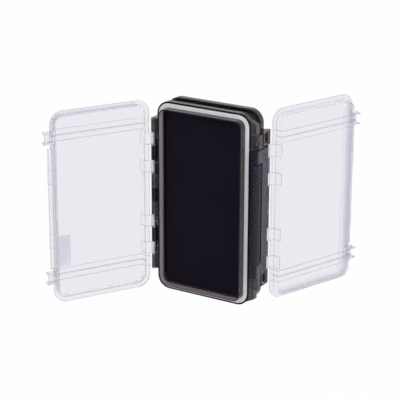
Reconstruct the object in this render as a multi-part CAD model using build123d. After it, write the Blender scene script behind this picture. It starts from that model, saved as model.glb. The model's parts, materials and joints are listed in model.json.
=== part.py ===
"""Two-sided lure box: two trays back to back, two clear hinged lids, two latches.

Millimetres, +Z up. The box stands on a short edge. The origin lies on the ground, midway between
the two rims and midway across the box. The front faces -Y. The back half is the front half turned
half a turn about Z, so each shape is made once, for the front, in its closed place.
"""
from build123d import *
import os

# Box outline
case_width = 102.0
case_height = 190.0
corner_radius = 13.0
rim_to_rim = 24.5

# Tray
rim_thickness = 1.6
rim_depth = 6.0
groove_depth = 1.3
flange_thickness = 1.4
lip_inset = 5.8
lip_thickness = 1.0
lip_rise = 7.5
floor_thickness = 1.3

# Shoulder plate and stop blocks on the latch side of a tray
shoulder_width = 5.7
shoulder_drop = 0.5
shoulder_chamfer_high = 8.8
shoulder_chamfer_wide = 18.1
block_reach = 9.0
block_wall = 1.3
block_corner = 1.5

# Seal, foam and its adhesive
seal_thickness = 1.6
seal_side_gap = 0.1
foam_thickness = 8.3
foam_gap = 0.3
adhesive_thickness = 0.3
adhesive_inset = 1.0

# Lid
lid_gap = 0.5
lid_height = 9.5
lid_flange_thickness = 1.6
lid_wall = 1.2
lid_panel = 1.4
lid_lip_gap = 0.4
lid_edge_round = 0.4
lid_inner_round = 0.4

# Straps across a lid, their middle bead, and the ears that they end in
strap_width = 11.2
strap_thickness = 0.6
strap_foot = 0.8
bead_width = 0.9
bead_height = 0.5
ear_reach = 6.6
ear_notch = 1.2
fin_thickness = 1.2
fin_depth = 7.2
fin_lean = 1.2

# Catch strip on the free edge of a lid
strip_reach = 2.8
strip_thickness = 2.0
strip_end_gap = 3.3
catch_thickness = 2.6
catch_middle = 32.0
catch_length = 14.0

# Hinges: knuckles, pins and gaps
axis_beyond_edge = 4.4
axis_behind_rim = 0.75
knuckle_radius = 2.9
knuckle_pitch = 13.92
knuckle_gap = 0.3
pin_radius = 1.0
pin_clearance = 0.05
pin_end_inset = 0.5
pin_chamfer = 0.25
tray_web_thickness = 2.4
lid_arm_thickness = 2.4
lid_arm_lap = 0.8
lid_arm_inset = 1.0
pocket_depth = 5.0
pocket_wall = 1.6

# Latch
latch_wall = 2.5
latch_side_gap = 0.4
latch_front_gap = 0.3
hook_thickness = 3.0
hook_overlap = 1.7
hook_tip_round = 1.2
latch_corner = 3.5
latch_root = 4.5
grip_thickness = 0.7
grip_half_length = 50.0
grip_round = 2.5
grip_side = 4.2
grip_lap = 0.5
finger_groove_width = 3.8
finger_groove_depth = 1.5

# Blank label on the front lid
label_width = 13.0
label_height = 31.5
label_thickness = 0.2
label_from_edge = 8.4
label_to_strap = 1.6

# Resting places, as turned from closed
front_lid_open = 120.6
back_lid_open = 110.2
latch_open = 4.0

# Worked out from the sizes above
half_width = case_width / 2
mid_z = case_height / 2
rim_y = -rim_to_rim / 2
rim_back_y = rim_y + rim_depth
groove_y = rim_y + groove_depth
lip_front_y = rim_y - lip_rise
foam_back_y = -floor_thickness - adhesive_thickness
lid_back_y = rim_y - lid_gap
lid_flange_y = lid_back_y - lid_flange_thickness
lid_front_y = rim_y - lid_height
lid_inner_y = lid_front_y + lid_panel
lid_inner_inset = lip_inset - lid_lip_gap
lid_outer_inset = lid_inner_inset - lid_wall
axis_x = half_width + axis_beyond_edge
axis_y = rim_y + axis_behind_rim
shoulder_x = half_width + shoulder_width
strip_x = half_width + strip_reach
catch_y = lid_back_y - catch_thickness
latch_inner_x = shoulder_x + latch_side_gap
latch_outer_x = latch_inner_x + latch_wall
hook_inner_y = catch_y - latch_front_gap
hook_front_y = hook_inner_y - hook_thickness
hook_tip_x = strip_x - hook_overlap
grip_back_y = hook_front_y + latch_corner + grip_side
end_near = 4.5 * knuckle_pitch + knuckle_gap / 2
end_far = 5.5 * knuckle_pitch - knuckle_gap / 2
end_middle = (end_near + end_far) / 2
strap_near = end_middle - strap_width / 2
strap_far = end_middle + strap_width / 2
strip_half_length = end_near - strip_end_gap
catch_near = catch_middle - catch_length / 2
catch_far = catch_middle + catch_length / 2
latch_half_length = end_near - knuckle_gap
label_low = mid_z - strap_near + label_to_strap

FRONT_AXIS = Axis((-axis_x, axis_y, 0), (0, 0, 1))
BACK_AXIS = Axis((axis_x, -axis_y, 0), (0, 0, 1))


def outline(inset):
    """Outline of the box, seen from the front, drawn in by inset."""
    radius = corner_radius - inset
    size = (case_width - 2 * inset, case_height - 2 * inset)
    return Pos(0, mid_z) * RectangleRounded(*size, radius)


def slab(sketch, back, front):
    """A front-view sketch made solid from y = back forward to y = front."""
    return extrude(Plane.XZ.offset(-back) * sketch, amount=back - front)


def block(x, y, z):
    """A plain block between pairs of limits."""
    size = [abs(pair[1] - pair[0]) for pair in (x, y, z)]
    middle = [(pair[1] + pair[0]) / 2 for pair in (x, y, z)]
    return Pos(*middle) * Box(*size)


def upright(sketch, z):
    """A plan-view sketch made solid between two heights."""
    return extrude(Plane.XY.offset(z[0]) * sketch, amount=z[1] - z[0])


def both_ends(near, far):
    """Height limits of a band above the middle and of its twin below."""
    return [(mid_z + near, mid_z + far), (mid_z - far, mid_z - near)]


def knuckle_bands(first):
    """Height limits of the knuckles, first being their place in the pitch from the middle."""
    near = (first - 0.5) * knuckle_pitch + knuckle_gap / 2
    far = (first + 0.5) * knuckle_pitch - knuckle_gap / 2
    return both_ends(near, far) if first else [(mid_z - far, mid_z + far)]


def one_solid(shape):
    """The single solid of a shape."""
    solids = shape.solids()
    return solids[0] if len(solids) == 1 else shape


def turned(shape, axis, angle):
    """A shape turned about an upright axis, counter-clockwise from above."""
    return shape.rotate(axis, angle)


def to_back(shape):
    """The same shape on the back half."""
    return shape.rotate(Axis.Z, 180)


def pin_bore(x, y):
    """The hole for a hinge pin, over the whole height."""
    hole = Circle(pin_radius + pin_clearance)
    return upright(Pos(x, y) * hole, (0, case_height))


def shoulder_sketch():
    """Front view of the plate that carries the latch side past the rim."""
    top = case_height
    cut_x = shoulder_x - shoulder_chamfer_wide
    cut_z = top - shoulder_chamfer_high
    points = [(0, 0), (cut_x, 0), (shoulder_x, top - cut_z), (shoulder_x, cut_z), (cut_x, top), (0, top)]
    return make_face(Polyline(*points, close=True))


def tray_shoulder():
    """Shoulder plate with its turned-back edge."""
    whole = shoulder_sketch()
    inner = offset(whole, amount=-rim_thickness, kind=Kind.INTERSECTION)
    front = rim_y + shoulder_drop
    keep = block((lip_inset, case_width), (-rim_to_rim, 0), (0, case_height))
    plate = slab(whole - outline(0), front + flange_thickness, front)
    edge = slab(whole - inner - outline(0), rim_back_y, front)
    return (plate + edge) & keep


def tray_stop(z):
    """Hollow block that an ear of the closed lid lies over."""
    x = (half_width - rim_thickness, half_width + block_reach)
    body = block(x, (rim_y, rim_back_y), z)
    corner = body.edges().filter_by(Axis.Z).group_by(Axis.X)[-1].sort_by(Axis.Y)[0]
    body = fillet(corner, block_corner)
    inside_x = (half_width, half_width + block_reach - block_wall)
    inside_z = (z[0] + block_wall, z[1] - block_wall)
    return body - block(inside_x, (rim_y + block_wall, rim_back_y), inside_z)


def tray_bracket(z):
    """End bracket that holds an end of the hinge pin, with its hollow side."""
    barrel = Pos(-axis_x, axis_y) * Circle(knuckle_radius)
    depth = -axis_y - knuckle_gap / 2
    reach = axis_x + knuckle_radius - half_width + lip_inset
    centre = (-axis_x - knuckle_radius + reach / 2, axis_y + depth / 2)
    arm = Pos(*centre) * Rectangle(reach, depth)
    body = upright(barrel + arm, z)
    pocket_x = (-axis_x - knuckle_radius, -axis_x - knuckle_radius + pocket_depth)
    pocket_y = (axis_y + knuckle_radius + pocket_wall / 2, -pocket_wall)
    pocket_z = (z[0] + pocket_wall, z[1] - pocket_wall)
    return body - block(pocket_x, pocket_y, pocket_z)


def tray_knuckle(z):
    """Barrel and web of a tray knuckle between the ends."""
    barrel = Pos(-axis_x, axis_y) * Circle(knuckle_radius)
    web_length = axis_beyond_edge + rim_thickness / 2
    centre = (-axis_x + web_length / 2, rim_y + tray_web_thickness / 2)
    web = Pos(*centre) * Rectangle(web_length, tray_web_thickness)
    return upright(barrel + web, z)


def make_tray():
    """One tray: floor, wall with its standing lip, grooved rim, stops and hinge knuckles."""
    wall_inset = lip_inset + lip_thickness
    body = slab(outline(lip_inset) - outline(wall_inset), 0, lip_front_y)
    body += slab(outline(lip_inset), 0, -floor_thickness)
    body += slab(outline(0) - outline(wall_inset), groove_y + flange_thickness, groove_y)
    body += slab(outline(0) - outline(rim_thickness), rim_back_y, rim_y)
    body += tray_shoulder()
    for z in both_ends(end_near, end_far):
        body += tray_stop(z)
        body += tray_bracket(z)
    for z in knuckle_bands(1):
        body += tray_knuckle(z)
    body -= slab(outline(wall_inset), -floor_thickness, lip_front_y)
    body -= slab(outline(rim_thickness) - outline(lip_inset), groove_y, rim_y)
    body -= pin_bore(-axis_x, axis_y)
    return one_solid(body)


def make_seal():
    """Flat seal ring in the groove of the rim."""
    ring = outline(rim_thickness + seal_side_gap) - outline(lip_inset - seal_side_gap)
    return one_solid(slab(ring, groove_y, groove_y - seal_thickness))


def make_foam():
    """Foam pad on the floor of a tray."""
    inset = lip_inset + lip_thickness + foam_gap
    return one_solid(slab(outline(inset), foam_back_y, foam_back_y - foam_thickness))


def make_adhesive():
    """Adhesive sheet between foam and floor."""
    inset = lip_inset + lip_thickness + foam_gap + adhesive_inset
    return one_solid(slab(outline(inset), -floor_thickness, foam_back_y))


def lid_cavity():
    """The hollow of a lid, with a rounded floor edge."""
    hollow = slab(outline(lid_inner_inset), lid_back_y, lid_inner_y)
    return fillet(hollow.faces().sort_by(Axis.Y)[0].edges(), lid_inner_round)


def lid_dish():
    """Rounded dish of a lid, solid."""
    dish = slab(outline(lid_outer_inset), lid_back_y, lid_front_y)
    return fillet(dish.faces().sort_by(Axis.Y)[0].edges(), lid_edge_round)


def lid_band(z, grow):
    """A band that wraps the dish from flange to flange and stands out by grow."""
    side = half_width - lid_outer_inset + grow
    band = block((-side, side), (lid_back_y, lid_front_y - grow), z)
    edges = band.edges().filter_by(Axis.Z).group_by(Axis.Y)[0]
    return fillet(edges, lid_edge_round + grow)


def lid_strap(z):
    """Strap across a lid with its middle bead and its feet on the flange."""
    middle = (z[0] + z[1]) / 2
    bead_z = (middle - bead_width / 2, middle + bead_width / 2)
    feet = block((-half_width, half_width), (lid_back_y, lid_flange_y - strap_foot), z)
    return lid_band(z, strap_thickness) + lid_band(bead_z, strap_thickness + bead_height) + feet


def ear_plate(z):
    """Tab of an ear, with a hollowed free end."""
    tip = half_width + ear_reach
    notch = half_width + ear_reach - ear_notch
    middle = (z[0] + z[1]) / 2
    end = ThreePointArc((tip, z[0]), (notch, middle), (tip, z[1]))
    root = half_width - rim_thickness
    rest = Polyline((tip, z[1]), (root, z[1]), (root, z[0]), (tip, z[0]))
    return slab(make_face(end + rest), lid_back_y, lid_flange_y)


def ear_fin(z):
    """Fin along one side of an ear, from the dish out to a leaning tip."""
    root = half_width - lid_outer_inset - lid_wall / 2
    tip = half_width + ear_reach
    top = lid_back_y - fin_depth
    points = [(root, top), (root, lid_back_y), (tip, lid_back_y), (tip - fin_lean, top)]
    edge = ThreePointArc(points[-1], (half_width, top + fin_depth / 10), points[0])
    return upright(make_face(Polyline(*points) + edge), z)


def lid_ear(z):
    """Ear at the free end of a strap: a tab between two fins."""
    low = (z[0], z[0] + fin_thickness)
    high = (z[1] - fin_thickness, z[1])
    return ear_plate(z) + ear_fin(low) + ear_fin(high)


def lid_arm(z):
    """Hinge arm of a lid: a barrel joined to the dish by a narrower web across the flange."""
    barrel = Pos(-axis_x, axis_y) * Circle(knuckle_radius)
    wall_x = -half_width + lid_outer_inset + lid_wall / 2
    front = lid_back_y - lid_arm_thickness
    points = [(-axis_x, lid_back_y), (wall_x, lid_back_y), (wall_x, front), (-half_width, front)]
    arm = make_face(Polyline(*points, (-axis_x, axis_y - knuckle_radius), close=True))
    edge_x = -half_width + lid_outer_inset + lid_arm_lap
    web_z = (z[0] + lid_arm_inset, z[1] - lid_arm_inset)
    wrap = lid_band(web_z, strap_thickness) & block((-case_width, edge_x), (-case_width, 0), web_z)
    return upright(barrel, z) + upright(arm, web_z) + wrap


def lid_strip():
    """Catch strip along the free edge, thicker at the two catches."""
    x = (half_width - rim_thickness, strip_x)
    whole = (mid_z - strip_half_length, mid_z + strip_half_length)
    strip = block(x, (lid_back_y, lid_back_y - strip_thickness), whole)
    for z in both_ends(catch_near, catch_far):
        strip += block(x, (lid_back_y, catch_y), z)
    return strip


def make_lid():
    """Clear lid, closed over the front tray."""
    flange = slab(outline(0), lid_back_y, lid_flange_y)
    body = lid_dish() + flange + lid_strip()
    for z in both_ends(strap_near, strap_far):
        body += lid_strap(z)
        body += lid_ear(z)
    for z in knuckle_bands(2) + knuckle_bands(4):
        body += lid_arm(z)
    body -= lid_cavity()
    body -= pin_bore(-axis_x, axis_y)
    return one_solid(body)


def latch_section(grow):
    """Plan view of the latch cover and hook, with its outer side moved out by grow."""
    outer = latch_outer_x + grow
    front = hook_front_y - grow
    corner = latch_corner + grow
    root_y = -axis_y - latch_root
    tip = hook_tip_x + hook_tip_round
    lines = Polyline(
        (outer, front + corner),
        (outer, root_y - latch_wall / 2),
        (axis_x + knuckle_radius, root_y + latch_wall / 2),
        (latch_inner_x, root_y),
        (latch_inner_x, hook_inner_y),
        (hook_tip_x, hook_inner_y),
        (hook_tip_x, front + hook_tip_round),
        (tip, front),
        (outer - corner, front),
    )
    middle = (outer - corner * (1 - 0.5**0.5), front + corner * (1 - 0.5**0.5))
    return make_face(lines + ThreePointArc((outer - corner, front), middle, (outer, front + corner)))


def latch_knuckle(z):
    """Barrel of a latch knuckle and the arm that joins it to the cover."""
    root_y = -axis_y - latch_root
    barrel = Pos(axis_x, -axis_y) * Circle(knuckle_radius)
    points = [(axis_x, -axis_y), (latch_inner_x, root_y - latch_wall), (latch_outer_x, root_y - latch_wall)]
    arm = make_face(Polyline(*points, (axis_x + knuckle_radius, -axis_y), close=True))
    return upright(barrel + arm, z)


def finger_groove():
    """Groove down the outer side of a latch, along the back edge of its grip pad."""
    x = (latch_outer_x - finger_groove_depth, latch_outer_x)
    y = (grip_back_y, grip_back_y + finger_groove_width)
    return block(x, y, (mid_z - grip_half_length, mid_z + grip_half_length))


def make_latch():
    """Latch for the front lid, closed: it pivots on the back tray's pin."""
    body = upright(latch_section(0), (mid_z - latch_half_length, mid_z + latch_half_length))
    for z in knuckle_bands(0) + knuckle_bands(3):
        body += latch_knuckle(z)
    body -= finger_groove()
    body -= pin_bore(axis_x, -axis_y)
    return one_solid(body)


def make_grip():
    """Grip pad round the front corner of the latch."""
    skin = latch_section(grip_thickness) - latch_section(0)
    x = (latch_outer_x - latch_corner - grip_lap, latch_outer_x + grip_thickness)
    y = (hook_front_y - grip_thickness, grip_back_y)
    window = block(x, y, (mid_z - grip_half_length, mid_z + grip_half_length))
    pad = upright(skin, (0, case_height)) & window
    corners = pad.edges().filter_by(Axis.X).group_by(Axis.Y)[-1]
    return one_solid(fillet(corners, grip_round))


def make_pin():
    """Steel pin of the front tray's hinge."""
    half_length = end_far - pin_end_inset
    pin = upright(Pos(-axis_x, axis_y) * Circle(pin_radius), (mid_z - half_length, mid_z + half_length))
    return one_solid(chamfer(pin.edges().filter_by(GeomType.CIRCLE), pin_chamfer))


def make_label():
    """Bare label on the outside of the front lid."""
    high_x = half_width - label_from_edge
    x = (high_x - label_width, high_x)
    y = (lid_front_y, lid_front_y - label_thickness)
    return one_solid(block(x, y, (label_low, label_low + label_height)))


def build_parts():
    """Every piece of the box in its resting place, by name."""
    tray = make_tray()
    lid = make_lid()
    latch = make_latch()
    grip = make_grip()
    seal = make_seal()
    foam = make_foam()
    adhesive = make_adhesive()
    pin = make_pin()
    return {
        "front_tray": tray,
        "back_tray": to_back(tray),
        "front_seal": seal,
        "back_seal": to_back(seal),
        "front_foam": foam,
        "back_foam": to_back(foam),
        "front_foam_adhesive": adhesive,
        "back_foam_adhesive": to_back(adhesive),
        "front_hinge_pin": pin,
        "back_hinge_pin": to_back(pin),
        "front_lid": turned(lid, FRONT_AXIS, -front_lid_open),
        "front_lid_label": turned(make_label(), FRONT_AXIS, -front_lid_open),
        "back_lid": turned(to_back(lid), BACK_AXIS, -back_lid_open),
        "front_latch": turned(latch, BACK_AXIS, latch_open),
        "front_latch_grip": turned(grip, BACK_AXIS, latch_open),
        "back_latch": turned(to_back(latch), FRONT_AXIS, latch_open),
        "back_latch_grip": turned(to_back(grip), FRONT_AXIS, latch_open),
    }


def main():
    """Writes one STEP file for each piece."""
    os.makedirs("parts", exist_ok=True)
    for name, shape in build_parts().items():
        shape.label = name
        export_step(shape, f"parts/{name}.step")


main()
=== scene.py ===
"""Finish and fine detail of the lure box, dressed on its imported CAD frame.

Metres, +Z up. The box stands on a short edge with both clear lids open, the front facing -Y. The back
half is the front half turned half a turn about Z, and so is every piece that this script makes.
"""

import json
import logging
import math
from dataclasses import dataclass
from enum import Enum
from typing import Any, Optional, Union

import bmesh
import bpy
from mathutils import Matrix, Vector


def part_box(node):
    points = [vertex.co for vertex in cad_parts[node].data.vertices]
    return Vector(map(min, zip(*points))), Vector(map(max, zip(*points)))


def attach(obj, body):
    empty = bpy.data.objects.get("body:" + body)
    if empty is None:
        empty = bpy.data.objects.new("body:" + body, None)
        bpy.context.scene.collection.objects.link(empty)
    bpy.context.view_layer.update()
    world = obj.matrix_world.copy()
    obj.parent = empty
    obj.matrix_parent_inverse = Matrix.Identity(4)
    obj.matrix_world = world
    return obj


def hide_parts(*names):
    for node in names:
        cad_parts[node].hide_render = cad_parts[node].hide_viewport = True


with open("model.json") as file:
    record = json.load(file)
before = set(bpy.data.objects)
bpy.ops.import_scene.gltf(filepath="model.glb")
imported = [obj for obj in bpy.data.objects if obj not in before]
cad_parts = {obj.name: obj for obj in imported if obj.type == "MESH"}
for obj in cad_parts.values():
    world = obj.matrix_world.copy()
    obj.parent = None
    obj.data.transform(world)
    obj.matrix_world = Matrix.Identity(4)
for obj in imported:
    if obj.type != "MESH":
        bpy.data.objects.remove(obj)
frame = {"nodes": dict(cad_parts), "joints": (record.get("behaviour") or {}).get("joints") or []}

MM = 0.001
QUARTER_TURN = math.pi / 2
Triple = tuple[float, float, float]
Colour = Triple
Limits = tuple[float, float]
Point = tuple[float, float]
log = logging.getLogger("lure_box")


class Side(Enum):
    """The two halves of the box, by the name that their pieces start with."""

    FRONT = "front"
    BACK = "back"

    def turn(self) -> Matrix:
        """The turn about Z that takes the front half to this one."""
        return Matrix.Rotation(0 if self is Side.FRONT else math.pi, 4, "Z")

    def node(self, piece: str) -> str:
        """Name of a piece's CAD node on this side."""
        return f"{self.value}_{piece}"


def rgba(colour: Colour) -> tuple[float, float, float, float]:
    """A colour with full alpha."""
    return (*colour, 1.0)


def new_node(
    tree: bpy.types.NodeTree, kind: str, settings: dict[str, Any], inputs: dict[Any, Any]
) -> bpy.types.Node:
    """Adds a node to a tree, sets it up and feeds its sockets.

    Args:
        tree: the tree of a material, a world or a Geometry Nodes group.
        kind: the node's type.
        settings: properties of the node, which are set first.
        inputs: values, or sockets to link, by the name or number of the input.

    Returns:
        The node.
    """
    node = tree.nodes.new(kind)
    for key, value in settings.items():
        setattr(node, key, value)
    for key, value in inputs.items():
        if isinstance(value, bpy.types.NodeSocket):
            tree.links.new(value, node.inputs[key])
        else:
            node.inputs[key].default_value = value
    return node


@dataclass(frozen=True)
class Signal:
    """An output socket that takes part in sums, each sum adding its Math node."""

    recipe: "Recipe"
    socket: bpy.types.NodeSocket

    def __add__(self, other: "Value") -> "Signal":
        """This and another value added."""
        return self.recipe.math("ADD", self, other)

    def __sub__(self, other: "Value") -> "Signal":
        """This less another value."""
        return self.recipe.math("SUBTRACT", self, other)

    def __rsub__(self, other: "Value") -> "Signal":
        """Another value less this."""
        return self.recipe.math("SUBTRACT", other, self)

    def __mul__(self, other: "Value") -> "Signal":
        """This and another value multiplied."""
        return self.recipe.math("MULTIPLY", self, other)

    __radd__ = __add__
    __rmul__ = __mul__


Value = Union[Signal, float]


@dataclass(frozen=True)
class Mark:
    """A mark of wear or moulding, spread over a surface as blotches of noise or as round specks.

    Attributes:
        grain: size of its blotches or cells, in metres.
        start: value of the pattern at which the mark starts.
        full: value of the pattern at which it is full.
        tone: how far it takes the colour to the worn one.
        rough: what it adds to the roughness.
        detail: number of finer layers of its noise.
    """

    grain: float
    start: float
    full: float
    tone: float = 0.0
    rough: float = 0.0
    detail: float = 3.0


class Recipe:
    """A material that is being written, node by node.

    The Mix node numbers its sockets by kind of data: inputs 6 and 7 and output 2 are its colours.
    """

    EDGE_SAMPLES = 6
    EDGE_LIMITS: Limits = (0.02, 0.22)
    RECESS_SAMPLES = 8
    RECESS_LIMITS: Limits = (0.75, 0.4)

    def __init__(self, name: str) -> None:
        """Starts a material of a name, with no nodes."""
        self.start(bpy.data.materials.new(name), "ShaderNodeOutputMaterial")

    def start(self, owner: Union[bpy.types.Material, bpy.types.World], output: str) -> None:
        """Empties the tree of a material or world and gives it its output node.

        Args:
            owner: the material or world.
            output: the type of the output node.
        """
        self.owner = owner
        owner.use_nodes = True
        self.tree = owner.node_tree
        self.tree.nodes.clear()
        self.out = self.tree.nodes.new(output)

    def add(self, kind: str, settings: dict[str, Any], inputs: dict[Any, Any], output: Any = 0) -> Signal:
        """Adds a node as new_node() does, from values or signals, and gives the wanted output."""
        fed = {key: value.socket if isinstance(value, Signal) else value for key, value in inputs.items()}
        return Signal(self, new_node(self.tree, kind, settings, fed).outputs[output])

    def math(self, operation: str, *values: Value) -> Signal:
        """A sum on values."""
        return self.add("ShaderNodeMath", {"operation": operation}, dict(enumerate(values)))

    def place(self) -> Signal:
        """Place on the object, in metres."""
        return self.add("ShaderNodeTexCoord", {}, {}, "Object")

    def stretched(self, scale: Triple, turn: Triple = (0.0, 0.0, 0.0)) -> Signal:
        """Place on the object, stretched and turned."""
        inputs = {"Vector": self.place(), "Scale": scale, "Rotation": turn}
        return self.add("ShaderNodeMapping", {}, inputs)

    def axis(self, place: Signal, name: str) -> Signal:
        """One axis of a place, by its letter."""
        return self.add("ShaderNodeSeparateXYZ", {}, {"Vector": place}, name)

    def noise(self, place: Signal, grain: float, detail: float = 3.0) -> Signal:
        """Soft noise from 0 to 1, with blotches of a size in metres and a number of finer layers."""
        return self.add("ShaderNodeTexNoise", {}, {"Vector": place, "Scale": 1 / grain, "Detail": detail})

    def cells(self, place: Signal, grain: float) -> Signal:
        """Distance within Voronoi cells of a size in metres."""
        return self.add("ShaderNodeTexVoronoi", {}, {"Vector": place, "Scale": 1 / grain})

    def ramp(self, value: Signal, low: float, high: float) -> Signal:
        """A value taken from between two limits to 0 to 1."""
        inputs = {"Value": value, "From Min": low, "From Max": high}
        return self.add("ShaderNodeMapRange", {"clamp": True}, inputs)

    def patches(self, place: Signal, mark: Mark) -> Signal:
        """Mask of a mark that lies in soft blotches."""
        return self.ramp(self.noise(place, mark.grain, mark.detail), mark.start, mark.full)

    def specks(self, place: Signal, mark: Mark) -> Signal:
        """Mask of a mark that lies in round specks."""
        return self.ramp(self.cells(place, mark.grain), mark.start, mark.full)

    def mix(self, factor: Value, first: Any, second: Any) -> Signal:
        """Mixes two colours."""
        inputs = {0: factor, 6: self.as_colour(first), 7: self.as_colour(second)}
        return self.add("ShaderNodeMix", {"data_type": "RGBA"}, inputs, 2)

    @staticmethod
    def as_colour(value: Any) -> Any:
        """A plain colour with alpha, or a signal as it is."""
        return value if isinstance(value, Signal) else rgba(value)

    def edges(self, radius: float) -> Signal:
        """Mask of the sharp edges of a solid, from 0 on its faces to 1 on its corners.

        Args:
            radius: how far the mask reaches from an edge, in metres.

        Returns:
            The mask.
        """
        rounded = self.add("ShaderNodeBevel", {"samples": self.EDGE_SAMPLES}, {"Radius": radius})
        flat = self.add("ShaderNodeNewGeometry", {}, {}, "Normal")
        settings = {"operation": "DOT_PRODUCT"}
        likeness = self.add("ShaderNodeVectorMath", settings, {0: rounded, 1: flat}, "Value")
        return self.ramp(1 - likeness, *self.EDGE_LIMITS)

    def recesses(self, reach: float) -> Signal:
        """Mask of narrow recesses, from 0 on open faces to 1 deep inside."""
        settings = {"samples": self.RECESS_SAMPLES}
        opening = self.add("ShaderNodeAmbientOcclusion", settings, {"Distance": reach}, "AO")
        return self.ramp(opening, *self.RECESS_LIMITS)

    def bump(self, height: Signal, depth: float, below: Optional[Signal] = None) -> Signal:
        """Bump of a height from 0 to 1.

        Args:
            height: the height.
            depth: how deep it is, in metres.
            below: the bump that it lies on, if any.

        Returns:
            The normal.
        """
        inputs = {"Height": height, "Distance": depth, "Strength": 1.0}
        if below is not None:
            inputs["Normal"] = below
        return self.add("ShaderNodeBump", {}, inputs)

    def shader(self, **inputs: Any) -> Signal:
        """Adds a Principled shader.

        Args:
            inputs: its sockets, with underscores for spaces.

        Returns:
            The shader's output.
        """
        named = {key.replace("_", " "): value for key, value in inputs.items()}
        for key, value in named.items():
            if isinstance(value, tuple) and len(value) == 3 and key.endswith("Color"):
                named[key] = rgba(value)
        return self.add("ShaderNodeBsdfPrincipled", {}, named)

    def blend(self, factor: Signal, first: Signal, second: Signal) -> Signal:
        """Mixes two shaders."""
        return self.add("ShaderNodeMixShader", {}, {0: factor, 1: first, 2: second})

    def finish(self, shader: Signal) -> Any:
        """Ends the material or world with a shader, and gives it."""
        self.tree.links.new(shader.socket, self.out.inputs["Surface"])
        return self.owner

    def surface(self, **inputs: Any) -> bpy.types.Material:
        """Ends the material with one Principled shader, its sockets given as in shader()."""
        return self.finish(self.shader(**inputs))

    def absorb(self, colour: Colour, density: float) -> None:
        """Colours the light that passes through the solid."""
        body = self.add("ShaderNodeVolumeAbsorption", {}, {"Color": rgba(colour), "Density": density})
        self.tree.links.new(body.socket, self.out.inputs["Volume"])


class WorldRecipe(Recipe):
    """A world that is being written, node by node."""

    def __init__(self, name: str) -> None:
        """Starts a world with no nodes and makes it the scene's.

        Args:
            name: the world's name.
        """
        world = bpy.data.worlds.new(name)
        bpy.context.scene.world = world
        self.start(world, "ShaderNodeOutputWorld")


# The finishes share their fields' names. rough, gloss and cover are the roughness, the strength of the
# mirrored light and the alpha. edge is the colour laid on corners, edge_share how much of it and edge_reach
# how far in: wear on the latch, wear and painted highlight on the pips, painted highlight on the smoke trays
# and painted dark lines on the clear lids. Of a pattern, _grain is the size in metres, _depth its depth,
# _tone how far it takes the colour to the worn one, and _rough what it adds to the roughness.


@dataclass(frozen=True)
class Hairlines:
    """Thin straight scratches on one heading, in patches.

    Attributes:
        turn: their heading, in radians.
        grain: width of the noise across them, in metres.
        share: how much of the surface they cover, from 0 to 1.
        stretch: width of the noise as a share of its length.
        tilt: turn about Y as a share of the heading.
        sparse: value of the noise at which a line starts, where the share is 0.
        denser: how much lower it starts where the share is 1.
        full: value at which it is full.
        patch: the patches that they lie in.
    """

    turn: float
    grain: float
    share: float
    stretch: float = 0.03
    tilt: float = 0.7
    detail: float = 2.0
    sparse: float = 0.74
    denser: float = 0.12
    full: float = 0.8
    patch: Mark = Mark(20 * MM, 0.45, 0.7, detail=2.0)

    def mask(self, recipe: Recipe) -> Signal:
        """Where the scratches lie.

        Args:
            recipe: the material that is being written.

        Returns:
            The mask, from 0 to 1.
        """
        heading = (self.turn, self.turn * self.tilt, self.turn)
        streaks = recipe.noise(recipe.stretched((1.0, self.stretch, 1.0), heading), self.grain, self.detail)
        lines = recipe.ramp(streaks, self.sparse - self.denser * self.share, self.full)
        return lines * recipe.patches(recipe.place(), self.patch)


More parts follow.
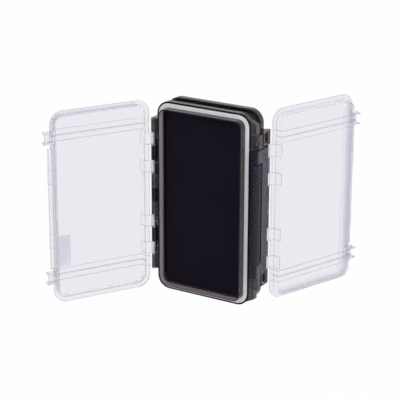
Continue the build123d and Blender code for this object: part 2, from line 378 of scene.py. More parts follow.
@dataclass(frozen=True)
class PaintedTrayShade:
    """Painted shade on a tray: on the face of its rim outside the groove, and on its wall down by the foam.

    Attributes:
        corner_x: the corners' centres, to either side of the middle.
        corner_z: the same, above and below the middle.
        middle_z: height of the middle.
        rim_reach: the rim's least and greatest distance from the corners' centres.
        wall_reach: the same for the wall's inner face.
        rim_face: how far the rim's face lies in front of the box's middle plane.
        rim_band: how far the shade reaches to either side of that face.
        foam_fade: where the wall's shade starts and is full, in front of the middle plane.
        blur: width of the soft edge between shaded and clear.
        share: greatest share of the dark shader.
    """

    corner_x: float = 38 * MM
    corner_z: float = 82 * MM
    middle_z: float = 95 * MM
    rim_reach: Limits = (11.4 * MM, 13.0 * MM)
    wall_reach: Limits = (6.0 * MM, 6.3 * MM)
    rim_face: float = 12.25 * MM
    rim_band: float = 0.35 * MM
    foam_fade: Limits = (12.8 * MM, 10.6 * MM)
    blur: float = 0.1 * MM
    share: float = 0.94
    colour: Colour = (0.004, 0.0035, 0.006)
    rough: float = 0.6
    gloss: float = 0.1

    def between(self, recipe: Recipe, value: Signal, limits: Limits) -> Signal:
        """Tells where a value lies between two limits, with a little blur.

        Args:
            recipe: the material that is being written.
            value: the value.
            limits: the low and the high limit.

        Returns:
            The mask.
        """
        low, high = limits
        above = recipe.ramp(value, low - self.blur, low)
        return above * recipe.ramp(value, high + self.blur, high)

    def mask(self, recipe: Recipe, place: Signal) -> Signal:
        """How much painted shade each point gets, from 0 to the greatest share.

        Args:
            recipe: the material that is being written.
            place: the point's place.

        Returns:
            The mask, the same on the front and the back tray.
        """
        x, y, z = (recipe.axis(place, name) for name in "XYZ")
        across = recipe.math("MAXIMUM", recipe.math("ABSOLUTE", x) - self.corner_x, 0.0)
        along = recipe.math("MAXIMUM", recipe.math("ABSOLUTE", z - self.middle_z) - self.corner_z, 0.0)
        reach = recipe.math("SQRT", across * across + along * along)
        depth = recipe.math("ABSOLUTE", y)
        face = self.between(recipe, depth, (self.rim_face - self.rim_band, self.rim_face + self.rim_band))
        rim = self.between(recipe, reach, self.rim_reach) * face
        wall = self.between(recipe, reach, self.wall_reach) * recipe.ramp(depth, *self.foam_fade)
        return recipe.math("MAXIMUM", rim, wall) * self.share

    def over(self, recipe: Recipe, place: Signal, skin: Signal) -> Signal:
        """Lays the painted shade over a shader."""
        # A near-black shader stands in for shade on the tray.
        dark = recipe.shader(Base_Color=self.colour, Roughness=self.rough, Specular_IOR_Level=self.gloss)
        return recipe.blend(self.mask(recipe, place), skin, dark)


@dataclass(frozen=True)
class SeeThroughPlastic:
    """Glossy see-through moulding: colour deepens with thickness, hairlines and haze come from handling.

    Attributes:
        tint: colour of its surface.
        absorbed: colour of the light that gets through it.
        density: how fast the rest is lost, per metre.
        outer_edges_share: the edge_share beyond outer_edges_from, on the edges towards the box's sides.
        outer_edges_from: distance to either side of the box's middle.
        outer_edges_fade: width of the change between the two shares.
        polish: its least roughness.
        body: share of it that is opaque.
        refraction: its index.
        haze: its hazy patches.
        dust: specks of dust.
        scuffs: its hairlines.
        worn: the worn colour, as a share of the tint.
        flow_grain: size of the waves that moulding left.
        shade: painted shade laid over it, if any.
    """

    name: str
    tint: Colour
    absorbed: Colour
    density: float
    edge: Colour
    edge_share: float
    outer_edges_share: float
    outer_edges_from: float = 51.4 * MM
    outer_edges_fade: float = 1 * MM
    edge_reach: float = 0.35 * MM
    edge_rough: float = 0.4
    cover: float = 1.0
    gloss: float = 0.35
    polish: float = 0.03
    body: float = 0.0
    refraction: float = 1.5
    haze_rough: float = 0.1
    haze: Mark = Mark(30 * MM, 0.45, 0.75)
    dust: Mark = Mark(2.3 * MM, 0.06, 0.03, tone=0.2, rough=0.2)
    scuffs: tuple[Hairlines, Hairlines] = (Hairlines(0.6, 1.1 * MM, 0.4), Hairlines(2.1, 0.9 * MM, 0.4))
    scuff_tone: float = 0.5
    scuff_rough: float = 0.2
    scuff_depth: float = 0.01 * MM
    worn: float = 0.9
    flow_grain: float = 22 * MM
    flow_depth: float = 0.03 * MM
    # Painted shade, if any, laid over the surface.
    shade: Optional[PaintedTrayShade] = None

    def skin(self, recipe: Recipe, place: Signal) -> Signal:
        """The clear surface with its wear.

        Args:
            recipe: the material that is being written.
            place: the point's place.

        Returns:
            The shader.
        """
        haze = recipe.patches(place, self.haze)
        scuffs = recipe.math("MAXIMUM", *(lines.mask(recipe) for lines in self.scuffs))
        dust = recipe.specks(place, self.dust)
        worn = tuple(self.worn * channel for channel in self.tint)
        colour = recipe.mix(scuffs * self.scuff_tone + dust * self.dust.tone, self.tint, worn)
        rough = scuffs * self.scuff_rough + haze * self.haze_rough + dust * self.dust.rough + self.polish
        flow = recipe.noise(place, self.flow_grain, 1.0)
        normal = recipe.bump(scuffs, self.scuff_depth, recipe.bump(flow, self.flow_depth))
        return recipe.shader(
            Base_Color=colour, Roughness=rough, Normal=normal, Transmission_Weight=1.0 - self.body,
            IOR=self.refraction, Specular_IOR_Level=self.gloss, Alpha=self.cover,
        )

    def painted_edges(self, recipe: Recipe, place: Signal) -> Signal:
        """How much painted edge colour each point gets: on the corners, and more towards the box's sides.

        Args:
            recipe: the material that is being written.
            place: the point's place.

        Returns:
            The mask.
        """
        aside = recipe.math("ABSOLUTE", recipe.axis(place, "X"))
        outer_edges = recipe.ramp(aside, self.outer_edges_from - self.outer_edges_fade, self.outer_edges_from)
        share = self.edge_share + outer_edges * (self.outer_edges_share - self.edge_share)
        return recipe.edges(self.edge_reach) * share

    def make(self) -> bpy.types.Material:
        """Writes the material."""
        recipe = Recipe(self.name)
        place = recipe.place()
        recipe.absorb(self.absorbed, self.density)
        # The edge colour is painted light and shade: a pale highlight on the smoke trays' edges and a dark
        # line on the clear lids' edges.
        rubbed = recipe.shader(Base_Color=self.edge, Roughness=self.edge_rough)
        skin = recipe.blend(self.painted_edges(recipe, place), self.skin(recipe, place), rubbed)
        if self.shade is None:
            return recipe.finish(skin)
        return recipe.finish(self.shade.over(recipe, place, skin))


@dataclass(frozen=True)
class SolidPlastic:
    """Opaque satin moulding with fine grain, rubbed patches, hairlines and painted shade in its recesses.

    Attributes:
        rubbed: colour of its rubbed patches.
        shine: colour of its mirrored light.
        recess_shade: colour of the painted shade in its recesses.
        recess_shade_reach: width of a recess that gets the painted shade.
        rub: the rubbed patches.
        lines: its hairlines.
        grain: size of its moulded grain.
    """

    name: str
    colour: Colour
    rubbed: Colour
    edge: Colour
    rough: float
    gloss: float
    edge_share: float = 0.8
    edge_reach: float = 0.3 * MM
    shine: Colour = (0.8, 0.74, 1.0)
    recess_shade: Colour = (0.004, 0.003, 0.006)
    recess_shade_reach: float = 4 * MM
    rub: Mark = Mark(9 * MM, 0.5, 0.72, tone=0.4, rough=-0.12, detail=5.0)
    lines: Hairlines = Hairlines(1.2, 0.8 * MM, 0.6)
    line_tone: float = 0.5
    line_depth: float = -0.004 * MM
    mottle_grain: float = 3 * MM
    mottle_rough: float = 0.1
    grain: float = 0.5 * MM
    grain_depth: float = 0.006 * MM

    def make(self) -> bpy.types.Material:
        """Writes the material."""
        recipe = Recipe(self.name)
        place = recipe.place()
        rub = recipe.patches(place, self.rub)
        lines = self.lines.mask(recipe)
        colour = recipe.mix(rub * self.rub.tone + lines * self.line_tone, self.colour, self.rubbed)
        mottle = recipe.noise(place, self.mottle_grain)
        rough = self.rough + rub * self.rub.rough + mottle * self.mottle_rough
        grain = recipe.noise(place, self.grain, 4.0)
        normal = recipe.bump(lines, self.line_depth, recipe.bump(grain, self.grain_depth))
        worn = recipe.mix(recipe.edges(self.edge_reach) * rub * self.edge_share, colour, self.edge)
        skin = recipe.shader(
            Base_Color=worn, Roughness=rough, Normal=normal, Specular_IOR_Level=self.gloss,
            Specular_Tint=rgba(self.shine),
        )
        # Narrow recesses are painted near black, as shade.
        recess_shade = recipe.shader(Base_Color=self.recess_shade, Roughness=1.0, Specular_IOR_Level=0.0)
        return recipe.finish(recipe.blend(recipe.recesses(self.recess_shade_reach), skin, recess_shade))


@dataclass(frozen=True)
class Rubber:
    """Matt rubber with a fine skin, a light bloom and lint, and pale corners where edge_share is set.

    Attributes:
        pale: colour of its bloom and lint.
        bloom: patches of bloom.
        lint: specks of lint.
        skin: size of its skin's grain.
    """

    name: str
    colour: Colour
    pale: Colour
    edge: Colour = (0.5, 0.5, 0.5)
    edge_share: float = 0.0
    edge_reach: float = 0.3 * MM
    rough: float = 0.62
    bloom: Mark = Mark(14 * MM, 0.4, 0.75, tone=0.6, rough=0.15, detail=4.0)
    lint: Mark = Mark(1.9 * MM, 0.07, 0.02, tone=0.3)
    mottle_grain: float = 2 * MM
    mottle_rough: float = 0.08
    skin: float = 0.35 * MM
    skin_depth: float = 0.02 * MM

    def make(self) -> bpy.types.Material:
        """Writes the material."""
        recipe = Recipe(self.name)
        place = recipe.place()
        bloom = recipe.patches(place, self.bloom)
        lint = recipe.specks(place, self.lint)
        colour = recipe.mix(bloom * self.bloom.tone + lint * self.lint.tone, self.colour, self.pale)
        # On the pips the pale corners are wear and a painted highlight.
        if self.edge_share:
            colour = recipe.mix(recipe.edges(self.edge_reach) * self.edge_share, colour, self.edge)
        mottle = recipe.noise(place, self.mottle_grain)
        rough = self.rough + bloom * self.bloom.rough + mottle * self.mottle_rough
        skin = recipe.bump(recipe.noise(place, self.skin), self.skin_depth)
        return recipe.surface(Base_Color=colour, Roughness=rough, Normal=skin)


@dataclass(frozen=True)
class CellFoam:
    """Closed-cell foam: tiny pits, a matt skin and faint pressed patches.

    Attributes:
        worn: colour of its pressed patches.
        cell: size of its cells, each with its pit.
        pressed: the pressed patches.
        large: the larger pits.
        large_share: how deep these are beside the small ones.
    """

    name: str
    colour: Colour
    worn: Colour
    rough: float = 0.86
    gloss: float = 0.12
    cell: float = 0.45 * MM
    pit_depth: float = 0.09 * MM
    pit_rough: float = 0.1
    pressed: Mark = Mark(24 * MM, 0.55, 0.8, rough=0.1)
    large: Mark = Mark(1.8 * MM, 0.18, 0.05)
    large_share: float = 0.6

    def make(self) -> bpy.types.Material:
        """Writes the material."""
        recipe = Recipe(self.name)
        place = recipe.place()
        pressed = recipe.noise(place, self.pressed.grain, self.pressed.detail)
        pits = recipe.cells(place, self.cell)
        large = recipe.specks(place, self.large)
        colour = recipe.mix(pressed * pits, self.colour, self.worn)
        smooth = recipe.ramp(pressed, self.pressed.start, self.pressed.full)
        rough = self.rough + pits * self.pit_rough - smooth * self.pressed.rough
        normal = recipe.bump(pits - large * self.large_share, self.pit_depth)
        return recipe.surface(
            Base_Color=colour, Roughness=rough, Normal=normal, Specular_IOR_Level=self.gloss
        )


@dataclass(frozen=True)
class DrawnSteel:
    """Drawn wire with lines along its length.

    Attributes:
        dull: colour of its stains.
        line_stretch: width of the lines' noise as a share of its length.
        stain: the stains.
    """

    name: str
    colour: Colour
    dull: Colour
    rough: float = 0.25
    line_grain: float = 0.15 * MM
    line_stretch: float = 0.02
    line_rough: float = 0.15
    line_depth: float = 0.01 * MM
    stain: Mark = Mark(4 * MM, 0.5, 0.7, tone=0.7, rough=0.2, detail=4.0)

    def make(self) -> bpy.types.Material:
        """Writes the material."""
        recipe = Recipe(self.name)
        lines = recipe.noise(recipe.stretched((1.0, 1.0, self.line_stretch)), self.line_grain, 2.0)
        stain = recipe.patches(recipe.place(), self.stain)
        colour = recipe.mix(stain * self.stain.tone, self.colour, self.dull)
        rough = self.rough + lines * self.line_rough + stain * self.stain.rough
        normal = recipe.bump(lines, self.line_depth)
        return recipe.surface(Base_Color=colour, Metallic=1.0, Roughness=rough, Normal=normal)


@dataclass(frozen=True)
class Film:
    """Thin matt film or sheet, faintly mottled, with tiny trapped bubbles.

    Attributes:
        other: colour of its mottling and bubbles.
        bubbles: the trapped bubbles.
    """

    name: str
    colour: Colour
    other: Colour
    rough: float = 0.5
    cover: float = 1.0
    mottle_grain: float = 5 * MM
    mottle_tone: float = 0.6
    mottle_rough: float = 0.12
    bubbles: Mark = Mark(3.1 * MM, 0.1, 0.04, tone=0.3)
    bubble_depth: float = 0.03 * MM

    def make(self) -> bpy.types.Material:
        """Writes the material."""
        recipe = Recipe(self.name)
        place = recipe.place()
        mottle = recipe.noise(place, self.mottle_grain, 4.0)
        bubbles = recipe.specks(place, self.bubbles)
        tone = mottle * self.mottle_tone + bubbles * self.bubbles.tone
        colour = recipe.mix(tone, self.colour, self.other)
        rough = self.rough + mottle * self.mottle_rough
        normal = recipe.bump(bubbles, self.bubble_depth)
        return recipe.surface(Base_Color=colour, Roughness=rough, Normal=normal, Alpha=self.cover)


class Finishes:
    """Every finish of the box, made once."""

    def __init__(self) -> None:
        """Makes the materials."""
        # The smoke's pale edge colour is a painted highlight, the clear lids' dark one a painted dark line.
        self.smoke = SeeThroughPlastic(
            "smoke_plastic", tint=(0.94, 0.88, 0.92), absorbed=(0.36, 0.3, 0.32), density=850.0,
            edge=(0.75, 0.71, 0.75), edge_share=0.03, outer_edges_share=0.6, body=0.035, refraction=1.4,
            shade=PaintedTrayShade(),
        ).make()
        self.clear = SeeThroughPlastic(
            "clear_plastic", tint=(0.6, 0.585, 0.705), absorbed=(0.41, 0.39, 0.56), density=5.0,
            edge=(0.06, 0.05, 0.08), edge_share=0.72, outer_edges_share=0.72, edge_reach=0.62 * MM,
            cover=0.38, polish=0.01, haze_rough=0.03, refraction=1.2,
        ).make()
        self.seal = Rubber("seal_rubber", (0.84, 0.82, 0.87), pale=(0.9, 0.88, 0.92)).make()
        self.foam = CellFoam("black_foam", (0.006, 0.0045, 0.0105), worn=(0.016, 0.012, 0.026)).make()
        self.adhesive = Film("adhesive", (0.7, 0.69, 0.62), other=(0.6, 0.58, 0.5)).make()
        self.steel = DrawnSteel("pin_steel", (0.62, 0.61, 0.6), dull=(0.35, 0.32, 0.29)).make()
        self.label = Film("label", (0.7, 0.69, 0.75), other=(0.78, 0.77, 0.82), cover=0.16).make()
        self.latch = SolidPlastic(
            "latch_plastic", (0.012, 0.008, 0.021), rubbed=(0.026, 0.019, 0.042), edge=(0.12, 0.11, 0.14),
            rough=0.24, gloss=0.55,
        ).make()
        # The grip pad is the pips' own rubber painted darker, as shade between the pips; the pips' pale
        # corners are wear and a painted highlight.
        self.grip = Rubber("grip_rubber", (0.005, 0.004, 0.008), pale=(0.009, 0.007, 0.013)).make()
        self.pips = Rubber(
            "pips_wear_and_highlight", (0.02, 0.016, 0.028), pale=(0.035, 0.03, 0.05), edge=(0.2, 0.18, 0.24),
            edge_share=0.6, rough=0.42,
        ).make()


def dress(node: str, material: bpy.types.Material) -> None:
    """Gives a CAD node its finish.

    Args:
        node: the node's name.
        material: the finish.
    """
    piece = frame["nodes"][node]
    if not piece.data.materials:
        piece.data.materials.append(material)
    for index in range(len(piece.data.materials)):
        piece.data.materials[index] = material
    log.info("finish %s on %s", material.name, node)


def new_piece(name: str, mesh: bpy.types.Mesh, material: bpy.types.Material) -> bpy.types.Object:
    """Links a mesh as a piece with one material.

    Args:
        name: the piece's name.
        mesh: its mesh.
        material: its material.

    Returns:
        The piece.
    """
    piece = bpy.data.objects.new(name, mesh)
    bpy.context.scene.collection.objects.link(piece)
    mesh.materials.clear()
    mesh.materials.append(material)
    return piece


class CadPieces:
    """The CAD nodes, each with its finish. Each foam node has one too, though a fuller pad stands for it."""

    def build(self, finishes: Finishes) -> None:
        """Gives each node its finish.

        Args:
            finishes: the finishes to choose from.
        """
        pieces = {
            "tray": finishes.smoke, "seal": finishes.seal, "foam": finishes.foam,
            "foam_adhesive": finishes.adhesive, "hinge_pin": finishes.steel, "lid": finishes.clear,
            "latch": finishes.latch, "latch_grip": finishes.grip,
        }
        for side in Side:
            for piece, material in pieces.items():
                dress(side.node(piece), material)
        dress("front_lid_label", finishes.label)


@dataclass
class FoamPad:
    """Foam pad on a tray's floor: die-cut edges, slightly rolled over, and a faintly crowned face.

    Attributes:
        side: the half of the box that it is in.
        edge_roll: radius of the rolled edge.
        crown: how far the face swells in the middle.
        corner_radius: radius of the pad's corners in the front view.
        least_radius: the same on the innermost rings.
        wall_share: height of the side wall's ring, as a share of the pad's thickness.
        corner_steps: faces round a corner, as straight_steps is along a side.
        roll_steps: rings on the rolled edge, as inner_rings is on the face.
    """

    side: Side
    edge_roll: float = 1.2 * MM
    crown: float = 0.12 * MM
    corner_radius: float = 5.6 * MM
    least_radius: float = 0.3 * MM
    wall_share: float = 0.4
    corner_steps: int = 14
    straight_steps: int = 28
    roll_steps: int = 5
    inner_rings: int = 16

    def arc(self, centre: Point, radius: float, quarter: int) -> list[Point]:
        """Points of one rounded corner, counter-clockwise.

        Args:
            centre: its centre, in x and z.
            radius: its radius.
            quarter: number of quarter turns before it.

        Returns:
            The points, in x and z.
        """
        points = []
        for step in range(self.corner_steps + 1):
            angle = (quarter + step / self.corner_steps) * QUARTER_TURN
            points.append((centre[0] + radius * math.cos(angle), centre[1] + radius * math.sin(angle)))
        return points

    def ring(self, low: Vector, high: Vector, inset: float) -> list[Point]:
        """Outline of the pad in the front view.

        Args:
            low: lowest corner of its box.
            high: highest corner of its box.
            inset: how far the outline is drawn in.

        Returns:
            Points in x and z, counter-clockwise, as many for any inset.
        """
        radius = max(self.corner_radius - inset, self.least_radius)
        left, right = low.x + inset + radius, high.x - inset - radius
        bottom, top = low.z + inset + radius, high.z - inset - radius
        centres = [(right, top), (left, top), (left, bottom), (right, bottom)]
        arcs = [self.arc(centre, radius, quarter) for quarter, centre in enumerate(centres)]
        points = []
        for arc, following in zip(arcs, arcs[1:] + arcs[:1]):
            points += arc
            (x, z), (end_x, end_z) = arc[-1], following[0]
            for step in range(1, self.straight_steps):
                share = step / self.straight_steps
                points.append((x + share * (end_x - x), z + share * (end_z - z)))
        return points

    def layers(self, low: Vector, high: Vector) -> list[Point]:
        """Lays out the rings that the pad is made of, from the floor up.

        Args:
            low: lowest corner of the pad's box.
            high: highest corner of that box.

        Returns:
            Inset and height above the pad's underside of each ring.
        """
        thick = high.y - low.y
        rows = [(0.0, 0.0), (0.0, thick * self.wall_share)]
        for step in range(self.roll_steps + 1):
            angle = step / self.roll_steps * QUARTER_TURN
            drop = self.edge_roll * (1 - math.sin(angle))
            rows.append((self.edge_roll * (1 - math.cos(angle)), thick - self.crown - drop))
        reach = (high.x - low.x) / 2 - self.corner_radius / 2
        for step in range(1, self.inner_rings + 1):
            share = step / self.inner_rings
            height = thick - self.crown + self.crown * math.sin(share * QUARTER_TURN)
            rows.append((self.edge_roll + share * (reach - self.edge_roll), height))
        return rows

    def mesh(self, name: str) -> bpy.types.Mesh:
        """Makes the pad's closed mesh on the front half and turns it to its own side.

        Args:
            name: the mesh's name.

        Returns:
            The mesh.
        """
        low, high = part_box(Side.FRONT.node("foam"))
        low, high = Vector(low), Vector(high)
        shell = bmesh.new()
        rings = []
        for inset, height in self.layers(low, high):
            points = self.ring(low, high, inset)
            rings.append([shell.verts.new((x, high.y - height, z)) for x, z in points])
        for lower, upper in zip(rings, rings[1:]):
            for index in range(len(lower)):
                after = (index + 1) % len(lower)
                shell.faces.new((lower[index], lower[after], upper[after], upper[index]))
        shell.faces.new(rings[0][::-1])
        shell.faces.new(rings[-1])
        bmesh.ops.recalc_face_normals(shell, faces=shell.faces)
        shell.transform(self.side.turn())
        mesh = bpy.data.meshes.new(name)
        shell.to_mesh(mesh)
        shell.free()
        mesh.shade_smooth()
        return mesh

    def build(self, finishes: Finishes) -> None:
        """Makes the pad in place of its CAD solid.

        Args:
            finishes: the finishes to choose from.
        """
        node = self.side.node("foam")
        name = f"{node}_pad"
        pad = new_piece(name, self.mesh(name), finishes.foam)
        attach(pad, "case")
        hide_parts(node)
        log.info("made %s", pad.name)


class KnurlTree:
    """Geometry Nodes tree that covers a strip, given by its cross curve, with staggered pips."""

    INPUTS = {
        "Height": "NodeSocketFloat",
        "Rows": "NodeSocketInt",
        "Columns": "NodeSocketInt",
        "Pip Width": "NodeSocketFloat",
        "Pip Height": "NodeSocketFloat",
        "Material": "NodeSocketMaterial",
    }
    PIP_SIDES = 4
    PIP_TOP_SHARE = 0.45

    def __init__(self) -> None:
        """Builds the tree."""
        self.tree = bpy.data.node_groups.new("knurl_field", "GeometryNodeTree")
        face = self.tree.interface
        face.new_socket("Geometry", in_out="INPUT", socket_type="NodeSocketGeometry")
        self.sockets = {}
        for name, kind in self.INPUTS.items():
            self.sockets[name] = face.new_socket(name, in_out="INPUT", socket_type=kind).identifier
        face.new_socket("Geometry", in_out="OUTPUT", socket_type="NodeSocketGeometry")
        self.given = self.tree.nodes.new("NodeGroupInput").outputs
        self.write()

    def add(self, kind: str, settings: dict[str, Any], inputs: dict[Any, Any]) -> bpy.types.NodeSocket:
        """Adds a node as new_node() does and gives its first output."""
        return new_node(self.tree, kind, settings, inputs).outputs[0]

    def sum(self, operation: str, first: Any, second: Any) -> bpy.types.NodeSocket:
        """A sum on two values."""
        return self.add("ShaderNodeMath", {"operation": operation}, {0: first, 1: second})

    def strip(self) -> bpy.types.NodeSocket:
        """Sheet with a point for each row and column."""
        path = {"Curve": self.given["Geometry"], "Count": self.given["Columns"]}
        across = self.add("GeometryNodeResampleCurve", {}, path)
        half = self.sum("MULTIPLY", self.given["Height"], 0.5)
        low = self.add("ShaderNodeCombineXYZ", {}, {"Y": self.sum("MULTIPLY", half, -1.0)})
        high = self.add("ShaderNodeCombineXYZ", {}, {"Y": half})
        line = self.add("GeometryNodeCurvePrimitiveLine", {}, {"Start": low, "End": high})
        upright = self.add("GeometryNodeResampleCurve", {}, {"Curve": line, "Count": self.given["Rows"]})
        return self.add("GeometryNodeCurveToMesh", {}, {"Curve": across, "Profile Curve": upright})

    def every_second(self) -> bpy.types.NodeSocket:
        """True on every second point, staggered from column to column."""
        index = self.add("GeometryNodeInputIndex", {}, {})
        rows = self.given["Rows"]
        column = self.sum("FLOOR", self.sum("DIVIDE", self.sum("ADD", index, 0.5), rows), 0.0)
        row = self.sum("SUBTRACT", index, self.sum("MULTIPLY", column, rows))
        odd = self.sum("FLOORED_MODULO", self.sum("ADD", column, row), 2.0)
        return self.add("FunctionNodeCompare", {"operation": "LESS_THAN"}, {0: odd, 1: 0.5})

    def pip(self) -> bpy.types.NodeSocket:
        """One pip, a low pyramid with a flat top."""
        radius = self.sum("MULTIPLY", self.given["Pip Width"], 0.5)
        sizes = {
            "Vertices": self.PIP_SIDES,
            "Radius Top": self.sum("MULTIPLY", radius, self.PIP_TOP_SHARE),
            "Radius Bottom": radius,
            "Depth": self.given["Pip Height"],
        }
        return self.add("GeometryNodeMeshCone", {}, sizes)

    def heading(self) -> bpy.types.NodeSocket:
        """The turn that stands a pip on the strip with one corner up."""
        outward = self.add("GeometryNodeInputNormal", {}, {})
        facing = self.add("FunctionNodeAlignRotationToVector", {"axis": "Z"}, {"Vector": outward})
        upward = {"Rotation": facing, "Vector": (0.0, 0.0, 1.0)}
        return self.add("FunctionNodeAlignRotationToVector", {"axis": "X", "pivot_axis": "Z"}, upward)

    def write(self) -> None:
        """Joins the strip, its pips and their material."""
        parts = {
            "Points": self.strip(),
            "Selection": self.every_second(),
            "Instance": self.pip(),
            "Rotation": self.heading(),
        }
        pips = self.add("GeometryNodeInstanceOnPoints", {}, parts)
        real = self.add("GeometryNodeRealizeInstances", {}, {"Geometry": pips})
        dressed = {"Geometry": real, "Material": self.given["Material"]}
        done = self.add("GeometryNodeSetMaterial", {}, dressed)
        out = self.tree.nodes.new("NodeGroupOutput")
        self.tree.links.new(done, out.inputs["Geometry"])

    def grow(self, name: str, curve: bpy.types.Curve, values: dict[str, Any]) -> bpy.types.Mesh:
        """Runs the tree on a curve.

        Args:
            name: name of the mesh.
            curve: cross curve of the strip.
            values: the named inputs.

        Returns:
            The pips as a plain mesh.
        """
        holder = bpy.data.objects.new(f"{name}_curve", curve)
        bpy.context.scene.collection.objects.link(holder)
        modifier = holder.modifiers.new("knurls", "NODES")
        modifier.node_group = self.tree
        for key, value in values.items():
            modifier[self.sockets[key]] = value
        evaluated = holder.evaluated_get(bpy.context.evaluated_depsgraph_get())
        mesh = bpy.data.meshes.new_from_object(evaluated)
        mesh.name = name
        bpy.data.objects.remove(holder)
        return mesh


@dataclass
class LatchKnurls:
    """Staggered pips on a latch's grip pad.

    Attributes:
        side: the half of the box whose lid the latch holds.
        pad_thickness: thickness of the grip pad.
        latch_corner: radius of the latch's corner under the pad.
        margin: bare border at the pad's front and back edge.
        end_margin: bare border at its top and bottom.
        column_pitch: distance between two columns of pips.
        row_pitch: distance between two rows.
        pip_width: width of a pip, from corner to corner.
        pip_height: height of a pip.
        arc_steps: parts that the path's turn round the corner is made of.
    """

    side: Side
    pad_thickness: float = 0.7 * MM
    latch_corner: float = 3.5 * MM
    margin: float = 1.5 * MM
    end_margin: float = 2.6 * MM
    column_pitch: float = 1.75 * MM
    row_pitch: float = 2.0 * MM
    pip_width: float = 2.5 * MM
    pip_height: float = 0.8 * MM
    arc_steps: int = 12

    def rest_turn(self) -> Matrix:
        """The turn about the front latch's hinge that takes the closed latch to its rest."""
        joint = next(j for j in frame["joints"] if j["name"] == "front_latch_hinge")
        angle = math.radians(-joint["range_deg"][0])
        pivot = Matrix.Translation(Vector(joint["pos_m"]))
        return pivot @ Matrix.Rotation(angle, 4, "Z") @ pivot.inverted()

    def closed_box(self) -> tuple[Vector, Vector]:
        """Lowest and highest corner of the front pad with its latch closed."""
        back = self.rest_turn().inverted()
        points = [back @ vertex.co for vertex in frame["nodes"]["front_latch_grip"].data.vertices]
        low = Vector([min(p[axis] for p in points) for axis in range(3)])
        high = Vector([max(p[axis] for p in points) for axis in range(3)])
        return low, high

    def path(self, low: Vector, high: Vector) -> list[Vector]:
        """Plan of the pad's outer face, from the front edge round the corner to the back edge.

        Args:
            low: lowest corner of the closed pad's box.
            high: highest corner of that box.

        Returns:
            The points of the path, at half the pad's height.
        """
        radius = self.latch_corner + self.pad_thickness
        centre = Vector((high.x - radius, low.y + radius))
        level = (low.z + high.z) / 2
        edge = low.x + self.margin
        points = [Vector((edge, low.y, level))]
        for step in range(self.arc_steps + 1):
            angle = (step / self.arc_steps - 1) * QUARTER_TURN
            x = centre.x + radius * math.cos(angle)
            if x >= edge:
                points.append(Vector((x, centre.y + radius * math.sin(angle), level)))
        points.append(Vector((high.x, high.y - self.margin, level)))
        return points

    def cross_curve(self, low: Vector, high: Vector) -> bpy.types.Curve:
        """Draws the path as a curve, with the latch at its rest.

        Args:
            low: lowest corner of the closed pad's box.
            high: highest corner of that box.

        Returns:
            The curve.
        """
        points = self.path(low, high)
        curve = bpy.data.curves.new(f"{self.side.value}_knurl_path", "CURVE")
        curve.dimensions = "3D"
        spline = curve.splines.new("POLY")
        spline.points.add(len(points) - 1)
        for knot, point in zip(spline.points, points):
            knot.co = (*(self.rest_turn() @ point), 1.0)
        return curve

    def build(self, finishes: Finishes, tree: KnurlTree) -> None:
        """Makes the pips of one latch, on the front half, and turns them to its own side.

        Args:
            finishes: the finishes to choose from.
            tree: the tree that lays out the pips.
        """
        low, high = self.closed_box()
        height = high.z - low.z - 2 * self.end_margin
        curve = self.cross_curve(low, high)
        length = sum(spline.calc_length() for spline in curve.splines)
        values = {
            "Height": height,
            "Rows": round(height / self.row_pitch) + 1,
            "Columns": round(length / self.column_pitch) + 1,
            "Pip Width": self.pip_width,
            "Pip Height": self.pip_height,
            "Material": finishes.pips,
        }
        name = f"{self.side.value}_latch_knurls"
        mesh = tree.grow(name, curve, values)
        mesh.transform(self.side.turn())
        pips = new_piece(name, mesh, finishes.pips)
        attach(pips, f"{self.side.value}_latch")
        log.info("made %s with %d faces", name, len(mesh.polygons))


@dataclass(frozen=True)
class Lamp:
    """Soft square lamp that faces the box.

    Attributes:
        name: the lamp's name.
        place: where it hangs.
        size: its side.
        power: in watts.
        target: the point that it faces.
    """

    name: str
    place: Triple
    size: float
    power: float
    target: Triple = (0.0, 0.0, 0.1)

    def build(self) -> None:
        """Hangs the lamp."""
        light = bpy.data.lights.new(self.name, "AREA")
        light.size = self.size
        light.energy = self.power
        holder = bpy.data.objects.new(self.name, light)
        holder.location = self.place
        aim = Vector(self.target) - Vector(self.place)
        holder.rotation_euler = aim.to_track_quat("-Z", "Y").to_euler()
        bpy.context.scene.collection.objects.link(holder)


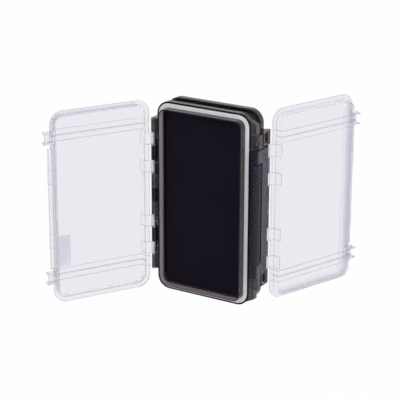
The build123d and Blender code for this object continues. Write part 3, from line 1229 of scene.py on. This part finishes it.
@dataclass(frozen=True)
class Studio:
    """White seamless studio with soft light and the photograph's camera.

    Attributes:
        eye: where the camera stands.
        yaw: its heading, from straight along +Y.
        pitch: how far it looks down.
        roll: how far it is turned about its own axis.
        lens: its focal length in millimetres, as sensor is its sensor's width.
        nearest: the nearest that it sees.
        floor_size: side of the floor.
        floor_stain: colour of its stains.
        stain_share: how much of them shows.
        floor_glow: share of the floor's own white that hides its shading from the camera.
        surround: strength of the world's light on the box.
        front_mirror: strength of the white that the box mirrors from the front.
        floor_fade: where the floor's mirrored white starts and is full, along Y.
        world_fade: the same for the world's, as a heading.
        lamps: the lamps.
    """

    eye: Triple = (0.70895, -1.18709, 0.57149)
    yaw: float = math.radians(31.225)
    pitch: float = math.radians(19.008)
    roll: float = math.radians(0.23)
    lens: float = 137.4
    sensor: float = 36.0
    nearest: float = 0.05
    floor_size: float = 8.0
    floor_colour: Colour = (0.8, 0.8, 0.8)
    floor_stain: Colour = (0.75, 0.75, 0.75)
    stain_grain: float = 50 * MM
    stain_share: float = 0.1
    floor_glow: float = 0.98
    surround: float = 0.6
    front_mirror: float = 0.15
    floor_fade: Limits = (-0.3, 0.1)
    world_fade: Limits = (-0.5, 0.2)
    lamps: tuple[Lamp, ...] = (
        Lamp("key_lamp", (0.35, -1.3, 1.4), 1.0, 4.0),
        Lamp("side_lamp", (1.4, -0.35, 0.8), 0.9, 9.0),
        Lamp("low_lamp", (0.3, -1.4, 0.12), 0.6, 3.5),
    )

    def rays(self, recipe: Recipe) -> tuple[Signal, Signal]:
        """Sorts the rays that reach the studio.

        Args:
            recipe: the material or world that is being written.

        Returns:
            Masks of the rays that see it straight or through plastic, and of the mirrored ones.
        """
        camera, through, glossy = (
            recipe.add("ShaderNodeLightPath", {}, {}, f"Is {name} Ray")
            for name in ("Camera", "Transmission", "Glossy")
        )
        straight = recipe.math("MAXIMUM", camera, through)
        return straight, glossy * (1 - straight)

    def mirror(self, recipe: Recipe, depth: Signal, fade: Limits) -> Signal:
        """Strength of the mirrored white, from its least at the front to 1 at the back."""
        return self.front_mirror + recipe.ramp(depth, *fade) * (1 - self.front_mirror)

    def floor_material(self) -> bpy.types.Material:
        """White to the camera with a faint shadow, in mirrored light white only at the back."""
        recipe = Recipe("studio_floor")
        place = recipe.place()
        stain = recipe.noise(place, self.stain_grain) * self.stain_share
        paint = recipe.mix(stain, self.floor_colour, self.floor_stain)
        matt = recipe.add("ShaderNodeBsdfDiffuse", {}, {"Color": paint})
        straight, mirrored = self.rays(recipe)
        share = self.mirror(recipe, recipe.axis(place, "Y"), self.floor_fade)
        glow = recipe.add("ShaderNodeEmission", {}, {"Strength": straight + mirrored * share})
        return recipe.finish(recipe.blend((straight + mirrored) * self.floor_glow, matt, glow))

    def build_floor(self) -> None:
        """Lays the floor."""
        half = self.floor_size / 2
        corners = [(-half, -half, 0), (half, -half, 0), (half, half, 0), (-half, half, 0)]
        mesh = bpy.data.meshes.new("studio_floor")
        mesh.from_pydata(corners, [], [(0, 1, 2, 3)])
        floor = new_piece("studio_floor", mesh, self.floor_material())

    def build_world(self) -> None:
        """Surrounds the scene with white, dimmer in mirrored light from the front."""
        recipe = WorldRecipe("studio_white")
        heading = recipe.add("ShaderNodeTexCoord", {}, {}, "Generated")
        mirror = self.mirror(recipe, recipe.axis(heading, "Y"), self.world_fade)
        straight, mirrored = self.rays(recipe)
        strength = self.surround + straight * (1 - self.surround) + mirrored * (mirror - self.surround)
        recipe.finish(recipe.add("ShaderNodeBackground", {}, {"Strength": strength}))

    def build_camera(self) -> None:
        """Sets the camera where the photograph was taken from."""
        camera = bpy.data.cameras.new("photo_camera")
        camera.lens = self.lens
        camera.sensor_width = self.sensor
        camera.clip_start = self.nearest
        holder = bpy.data.objects.new("photo_camera", camera)
        turn = Matrix.Rotation(self.yaw, 4, "Z") @ Matrix.Rotation(QUARTER_TURN - self.pitch, 4, "X")
        stand = Matrix.Translation(Vector(self.eye))
        holder.matrix_world = stand @ turn @ Matrix.Rotation(self.roll, 4, "Z")
        bpy.context.scene.collection.objects.link(holder)
        bpy.context.scene.camera = holder

    def build(self) -> None:
        """Makes the whole studio."""
        self.build_floor()
        self.build_world()
        self.build_camera()
        for lamp in self.lamps:
            lamp.build()
        bpy.context.scene.view_settings.view_transform = "Standard"
        log.info("made the studio")


def main() -> None:
    """Dresses the box and makes its studio."""
    logging.basicConfig(level=logging.INFO)
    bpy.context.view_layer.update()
    finishes = Finishes()
    CadPieces().build(finishes)
    knurls = KnurlTree()
    for side in Side:
        FoamPad(side).build(finishes)
        LatchKnurls(side).build(finishes, knurls)
    Studio().build()


if __name__ == "__main__":
    main()
